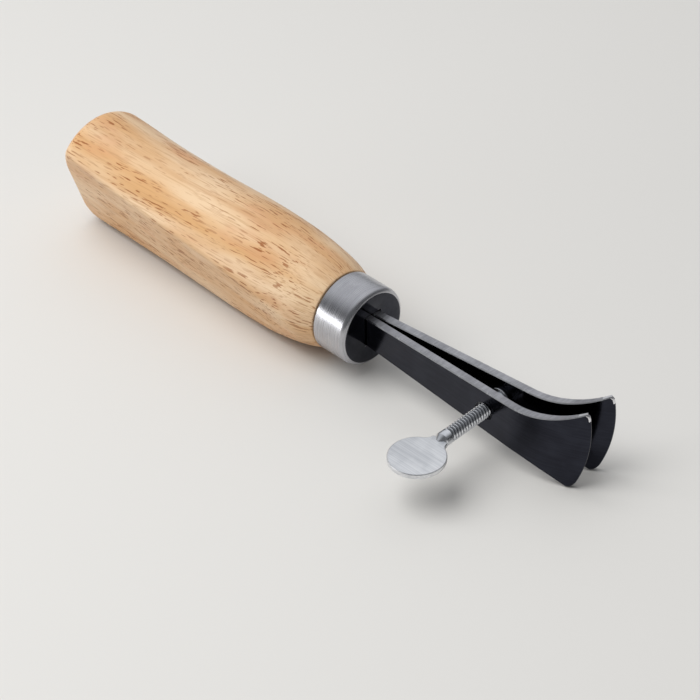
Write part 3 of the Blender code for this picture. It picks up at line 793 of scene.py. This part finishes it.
def make_head(place):
    """The flat head with a softly rounded rim."""
    upper = spade_outline()
    outline = upper + [(x, -y) for x, y in reversed(upper[:-1])]
    mesh = bmesh.new()
    face = mesh.faces.new([mesh.verts.new((x, y, -HEAD_THICKNESS / 2)) for x, y in outline])
    extruded = bmesh.ops.extrude_face_region(mesh, geom=[face])
    raised = [item for item in extruded["geom"] if isinstance(item, bmesh.types.BMVert)]
    bmesh.ops.translate(mesh, vec=(0, 0, HEAD_THICKNESS), verts=raised)
    bmesh.ops.recalc_face_normals(mesh, faces=mesh.faces)
    rim = [edge for edge in mesh.edges if edge.calc_face_angle(0.0) > math.radians(HEAD_RIM_DEGREES)]
    bmesh.ops.bevel(mesh, geom=rim, offset=HEAD_RIM, segments=HEAD_RIM_STEPS, profile=0.5, affect="EDGES")
    # a fan of triangles on each flat side, which comes out the same in every run
    flats = [face for face in mesh.faces if len(face.verts) > 4]
    bmesh.ops.poke(mesh, faces=flats)
    return finished("thumb_screw_head", mesh, [plated_head], place, HEAD_SHARP_DEGREES)


handle = make_handle()
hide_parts("handle")
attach(handle, "grip")

ferrule = make_ferrule()
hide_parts("ferrule")
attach(ferrule, "grip")

near_blade = make_blade("near_spring_blade", near_hinge, -splay)
cut_screw_hole(near_blade)
far_blade = make_blade("far_spring_blade", far_hinge, splay)
for blade, name, hinge in ((near_blade, "near", near_hinge), (far_blade, "far", far_hinge)):
    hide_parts(name + "_blade", name + "_blade_tang")
    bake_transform(blade)

pad = make_pad()
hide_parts("bearing_pad")
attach(pad, "far_jaw")

screw_place = Matrix.Translation(screw_tip) @ Matrix.Rotation(splay - math.pi / 2, 4, "Z")
shank = make_shank(screw_place)
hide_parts("thumb_screw")
head = make_head(screw_place)
for piece in (shank, head):
    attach(piece, "screw")

bedding = frame["nodes"]["tang_bedding"]
bedding.data.materials.clear()
bedding.data.materials.append(epoxy)


# Floor: the tool lies on the swell of its handle and on the lower corners of the blade tips


def resting_line():
    """(slope, height at x = 0) of the line that touches the handle and the blades from below."""
    slope = 0.0
    for _ in range(6):
        tip = min((v.co for v in near_blade.data.vertices), key=lambda co: co.z - slope * co.x)
        slope = max((tip.z - v.co.z) / (tip.x - v.co.x) for v in handle.data.vertices)
    return slope, tip.z - slope * tip.x


slope, height = resting_line()
FLOOR_SIZE = 3.0
floor_mesh = bmesh.new()
bmesh.ops.create_grid(floor_mesh, x_segments=1, y_segments=1, size=FLOOR_SIZE)
floor_place = Matrix.Translation((0, 0, height)) @ Matrix.Rotation(-math.atan(slope), 4, "Y")
floor_material, floor_tree, floor_shader = new_material("pale_matte_board", Roughness=0.75)
floor_shader.inputs["Base Color"].default_value = linear("#D8D6D2")
floor = finished("floor", floor_mesh, [floor_material], floor_place)


# Camera and light


def look_matrix(position, right, up, back):
    """The camera's matrix from its own axes."""
    return Matrix.Translation(position) @ Matrix((right, up, back)).transposed().to_4x4()


VIEW_ELEVATION = math.radians(37.95)
VIEW_AZIMUTH = math.radians(45.47)
VIEW_ROLL = math.radians(-0.40)
VIEW_DISTANCE = 0.9
LENS = 188.4
# what the view is centred on, in the view's own axes, from the middle of the ferrule's back rim
CENTRE_RIGHT = 1.65 * MM
CENTRE_DOWN = 9.85 * MM

sin_e, cos_e = math.sin(VIEW_ELEVATION), math.cos(VIEW_ELEVATION)
sin_a, cos_a = math.sin(VIEW_AZIMUTH), math.cos(VIEW_AZIMUTH)
level_right = Vector((cos_a, sin_a, 0))
level_down = Vector((sin_a * sin_e, -cos_a * sin_e, -cos_e))
back = Vector((sin_a * cos_e, -cos_a * cos_e, sin_e))
right = level_right * math.cos(VIEW_ROLL) - level_down * math.sin(VIEW_ROLL)
down = level_right * math.sin(VIEW_ROLL) + level_down * math.cos(VIEW_ROLL)
centre = mouth - Vector((FERRULE_LENGTH, 0, 0)) + right * CENTRE_RIGHT + down * CENTRE_DOWN
camera_data = bpy.data.cameras.new("camera")
camera_data.lens = LENS
camera = bpy.data.objects.new("camera", camera_data)
bpy.context.scene.collection.objects.link(camera)
camera.matrix_world = look_matrix(centre + back * VIEW_DISTANCE, right, -down, back)
bpy.context.scene.camera = camera


def add_softbox(name, direction, distance, width, height, power):
    """A rectangular lamp that faces the tool from this direction."""
    lamp = bpy.data.lights.new(name, "AREA")
    lamp.shape = "RECTANGLE"
    lamp.size = width
    lamp.size_y = height
    lamp.energy = power
    holder = bpy.data.objects.new(name, lamp)
    bpy.context.scene.collection.objects.link(holder)
    facing = Vector(direction).normalized()
    turn = facing.to_track_quat("Z", "Y").to_matrix().to_4x4()
    holder.matrix_world = Matrix.Translation(centre + facing * distance) @ turn
    return holder


# the softbox lights the wood and the floor; the steel shows only the dome and the strip
above = (-0.35, -0.38, 0.86)
overhead = add_softbox("overhead_softbox", above, distance=0.9, width=0.8, height=0.8, power=7.5)
overhead.visible_glossy = False
add_softbox("low_strip", (-0.56, -0.83, 0.12), distance=0.8, width=0.5, height=0.14, power=1.2)

# a dome that is brighter above the butt than on the side of the view
world = bpy.data.worlds.new("studio")
bpy.context.scene.world = world
world.use_nodes = True
sky = world.node_tree
direction = add_node(sky, "ShaderNodeTexCoord").outputs["Generated"]
bright_side = (-0.42, 0.35, 0.84)
towards = add_node(sky, "ShaderNodeVectorMath", {0: direction, 1: bright_side}, operation="DOT_PRODUCT")
glow = {"Value": towards.outputs["Value"], "From Min": 0.35, "From Max": 0.95, "To Min": 0.16, "To Max": 0.85}
sky_strength = add_node(sky, "ShaderNodeMapRange", glow, interpolation_type="SMOOTHSTEP").outputs["Result"]
sky.nodes["Background"].inputs["Color"].default_value = linear("#F4F6F9")
sky.links.new(sky_strength, sky.nodes["Background"].inputs["Strength"])
bpy.context.scene.view_settings.view_transform = "Standard"
